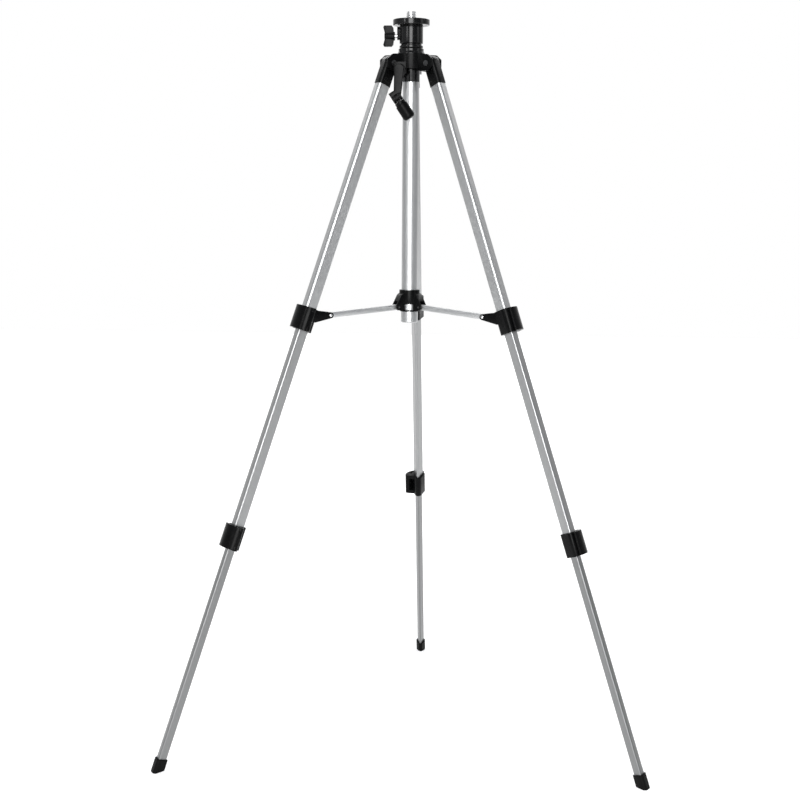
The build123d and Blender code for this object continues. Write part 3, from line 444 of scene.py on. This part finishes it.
def softened(node, width, segments):
    """A copy of a CAD node with its sharp edges rounded, which stands for the node."""
    source = NODES[node]
    mesh = bmesh.new()
    mesh.from_mesh(source.data)
    bmesh.ops.remove_doubles(mesh, verts=mesh.verts, dist=WELD)
    bmesh.ops.dissolve_limit(
        mesh, angle_limit=math.radians(FLAT_ANGLE), verts=mesh.verts, edges=mesh.edges
    )
    limit = math.radians(SHARP_ANGLE)
    sharp = [e for e in mesh.edges if e.is_manifold and e.calc_face_angle(0) > limit]
    bmesh.ops.bevel(
        mesh, geom=sharp, offset=width, offset_type="OFFSET", segments=segments,
        profile=0.5, affect="EDGES", clamp_overlap=True, harden_normals=False,
    )
    bmesh.ops.triangulate(mesh, faces=[f for f in mesh.faces if len(f.verts) > 4])
    finish = source.data.materials[0]
    piece = add_piece(f"{node}_moulding", mesh, finish, source["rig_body"])
    smooth_by_angle(piece.data, MOULDED_CREASE)
    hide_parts(node)


def circle(mesh, radius, height, steps, place=Matrix()):
    """A ring of new vertices, level and round Z before place moves it."""
    ring = []
    for k in range(steps):
        angle = 2 * math.pi * k / steps
        point = Vector((radius * math.cos(angle), radius * math.sin(angle), height))
        ring.append(mesh.verts.new(place @ point))
    return ring


def join_rings(mesh, low, high):
    """Faces between two rings of vertices, either of which may be a single point."""
    count = max(len(low), len(high))
    for k in range(count):
        nxt = (k + 1) % count
        if len(low) == 1:
            mesh.faces.new((low[0], high[nxt], high[k]))
        elif len(high) == 1:
            mesh.faces.new((low[k], low[nxt], high[0]))
        else:
            mesh.faces.new((low[k], low[nxt], high[nxt], high[k]))


def lathe(profile, place, axis, steps):
    """Mesh of a profile of (radius, height) points turned round axis at place."""
    turn = Vector(axis).to_track_quat("Z", "Y").to_matrix().to_4x4()
    to_place = Matrix.Translation(place) @ turn
    mesh = bmesh.new()
    rings = []
    for radius, height in profile:
        if radius == 0.0:
            rings.append([mesh.verts.new(to_place @ Vector((0, 0, height)))])
        else:
            rings.append(circle(mesh, radius, height, steps, to_place))
    for low, high in zip(rings, rings[1:]):
        join_rings(mesh, low, high)
    return mesh


def closed_lathe(profile, place, axis, steps):
    """As lathe, for a profile whose last point is its first."""
    mesh = lathe(profile, place, axis, steps)
    bmesh.ops.remove_doubles(mesh, verts=mesh.verts, dist=SEAM)
    return mesh


def dome(radius, height):
    """Profile of a low domed head: a straight wall, then a curve over the top."""
    outline = [(0.0, 0.0), (radius, 0.0), (radius, height * DOME_WALL)]
    for k in range(1, DOME_STEPS):
        turn = math.radians(90 * k / DOME_STEPS)
        rise = DOME_WALL + (1 - DOME_WALL) * math.sin(turn)
        outline.append((radius * math.cos(turn), height * rise))
    return outline + [(0.0, height)]


# ---- the object ---------------------------------------------------------------------
def leg_axis(number):
    """Unit vector up a leg."""
    return Vector(JOINTS[f"middle_{number}_slide"]["axis"])


def set_finish(obj, finish):
    """Assigns a finish to an object's material slots; its mesh keeps its shape."""
    for slot in obj.material_slots:
        slot.material = finish


def dress_nodes():
    """Gives every CAD node its finish, and returns the finishes by slot name."""
    upright = anodised("tube_upright", UP)
    finishes = {
        "gloss_black": moulded("gloss_black", 0.002, 0.17, 0.000003, gloss=0.3),
        "moulded_black": moulded("moulded_black", 0.0018, 0.26, 0.000008, gloss=0.07),
        "black_acetal": moulded("black_acetal", 0.014, 0.42, 0.000006, gloss=0.3),
        "rubber": rubber(),
        "bright_steel": steel("bright_steel", 0.8, 0.2, UP),
        "dark_steel": steel("dark_steel", 0.09, 0.3, (0, 1, 0)),
        "vial_glass": vial_liquid(),
        "anodised_aluminium": upright,
        "strut_aluminium": upright,
    }
    for node, obj in NODES.items():
        set_finish(obj, finishes[SLOTS[node]])
    for number in LEGS:
        # painted shade: each leg section's tone is darker than the one above it
        for section, tone in SECTION_SHADE_TONES.items():
            extrusion = anodised(f"{section}_finish_{number}", leg_axis(number), tone)
            set_finish(NODES[f"{section}_{number}"], extrusion)
        run = Vector(JOINTS[f"strut_{number}_fold"]["axis"]).cross(UP)
        sheet = anodised(f"strut_sheet_{number}", run, tone=0.5, rough=0.4)
        set_finish(NODES[f"strut_{number}"], sheet)
    grips = moulded("grip_black", 0.0015, 0.36, 0.00001, gloss=0.06)
    set_finish(NODES["crank_grip"], grips)
    return finishes


def round_mouldings():
    """Rounds the moulded pieces' edges, as a mould does."""
    for node, width, segments in ROUNDED:
        softened(node, width, segments)
    for number in LEGS:
        for kind, width, segments in ROUNDED_PER_LEG:
            softened(f"{kind}_{number}", width, segments)


def threaded_stud(material):
    """The stud with its 5/8 in, 11 turns per inch, right-hand thread."""
    low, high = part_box("instrument_stud")
    top, foot = high.z, -RECESS_DEPTH
    mesh = bmesh.new()
    rows = int((top - foot) / (THREAD_PITCH / ROWS_PER_TURN)) + 1
    rings = []
    for row in range(rows + 1):
        z = foot + (top - foot) * row / rows
        ring = []
        for k in range(STUD_STEPS):
            part = (z / THREAD_PITCH - k / STUD_STEPS) % 1.0
            slope = abs(part - 0.5) * 2  # 0 on the crest's middle, 1 in the root's
            depth = THREAD_DEPTH * min(1.0, max(0.0, (slope - THREAD_CREST) / THREAD_FLANK))
            radius = min(STUD_RADIUS - depth, STUD_RADIUS - STUD_CHAMFER + (top - z))
            angle = 2 * math.pi * k / STUD_STEPS
            place = (radius * math.cos(angle), radius * math.sin(angle), z)
            ring.append(mesh.verts.new(place))
        rings.append(ring)
    for below, above in zip(rings, rings[1:]):
        join_rings(mesh, below, above)
    join_rings(mesh, rings[-1], [mesh.verts.new((0, 0, top))])
    shank_top = circle(mesh, STUD_SHANK, foot, STUD_STEPS)
    shank_foot = circle(mesh, STUD_SHANK, low.z, STUD_STEPS)
    join_rings(mesh, shank_top, rings[0])
    join_rings(mesh, shank_foot, shank_top)
    join_rings(mesh, [mesh.verts.new((0, 0, low.z))], shank_foot)
    stud = add_piece("threaded_stud", mesh, material, "head")
    smooth_by_angle(stud.data, TURNED_CREASE)
    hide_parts("instrument_stud")


def grooved_platform(material):
    """The platform with a rounded rim and shallow rings moulded in its face."""
    low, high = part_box("platform_disc")
    base = low.z
    core = high.x - RIM_RADIUS  # where the rim's rounding starts
    outline = [(PLATFORM_BORE, base), (core, base)]
    for k in range(1, RIM_STEPS + 1):
        turn = math.radians(90 * k / RIM_STEPS)
        outline.append((core + RIM_RADIUS * math.sin(turn),
                        base + RIM_RADIUS - RIM_RADIUS * math.cos(turn)))
    for k in range(RIM_STEPS + 1):
        turn = math.radians(90 * k / RIM_STEPS)
        outline.append((core + RIM_RADIUS * math.cos(turn),
                        -RIM_RADIUS + RIM_RADIUS * math.sin(turn)))
    floor_half = GROOVE_HALF * GROOVE_FLOOR
    for middle in GROOVE_RADII:
        outline += [(middle + GROOVE_HALF, 0.0), (middle + floor_half, -GROOVE_DEPTH),
                    (middle - floor_half, -GROOVE_DEPTH), (middle - GROOVE_HALF, 0.0)]
    outline += [(RECESS_RADIUS, 0.0), (RECESS_RADIUS, -RECESS_DEPTH),
                (PLATFORM_BORE, -RECESS_DEPTH), (PLATFORM_BORE, base)]
    mesh = closed_lathe(outline, (0, 0, 0), UP, PLATFORM_STEPS)
    disc = add_piece("grooved_platform", mesh, material, "head")
    smooth_by_angle(disc.data, TURNED_CREASE)
    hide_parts("platform_disc")


def rivets(material):
    """Domed rivet heads on the collars' forks, where the struts are pinned."""
    slope = math.radians(STRUT_SLOPE)
    for number in LEGS:
        joint = JOINTS[f"strut_{number}_fold"]
        axis = Vector(joint["axis"])
        place = Vector(joint["pos_m"])
        out = axis.cross(UP).normalized()
        out = out if out.dot(place) > 0 else -out
        far = place + out * STRUT_LENGTH * math.cos(slope)
        far.z -= STRUT_LENGTH * math.sin(slope)
        for side, letter in ((-1, "a"), (1, "b")):
            face = far + axis * side * FORK_FACE
            head = lathe(dome(RIVET_RADIUS, RIVET_HEIGHT), face, axis * side, RIVET_STEPS)
            name = f"collar_rivet_{number}_{letter}"
            add_piece(name, head, material, f"leg_{number}")


def cover_screws(material):
    """Domed screw heads that hold the gear housing's cover."""
    low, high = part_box("gear_housing_cover")
    centre = (low + high) / 2
    for k in range(SCREW_COUNT):
        turn = math.radians(90 + 360 / SCREW_COUNT * k)
        place = Vector((centre.x + SCREW_CIRCLE * math.cos(turn), low.y,
                        centre.z + SCREW_CIRCLE * math.sin(turn)))
        mesh = lathe(dome(SCREW_RADIUS, SCREW_HEIGHT), place, (0, -1, 0), SCREW_STEPS)
        add_piece(f"cover_screw_{k}", mesh, material, "crown")


def level_marks(bubble_material, ring_material):
    """The vial's bubble and the ring that it is centred in, both on the vial's top."""
    low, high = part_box("level_vial")
    centre = (low + high) / 2
    place = Vector((centre.x + BUBBLE_DRIFT[0], centre.y + BUBBLE_DRIFT[1], high.z))
    bubble = lathe(dome(BUBBLE_RADIUS, BUBBLE_HEIGHT), place, UP, BUBBLE_STEPS)
    add_piece("level_bubble", bubble, bubble_material, "crown")
    outline = [(TARGET_INNER, 0.0), (TARGET_INNER, TARGET_HEIGHT),
               (TARGET_OUTER, TARGET_HEIGHT), (TARGET_OUTER, 0.0), (TARGET_INNER, 0.0)]
    ring = closed_lathe(outline, (centre.x, centre.y, high.z), UP, TARGET_STEPS)
    add_piece("level_target_ring", ring, ring_material, "crown")


make_camera()
for light in LIGHTS:
    area_light(*light)
make_world()
make_floor()
finishes = dress_nodes()
round_mouldings()
threaded_stud(finishes["bright_steel"])
grooved_platform(finishes["gloss_black"])
rivets(finishes["bright_steel"])
cover_screws(finishes["dark_steel"])
level_marks(bubble_finish(), finishes["black_acetal"])

bpy.context.scene.view_settings.view_transform = "Standard"
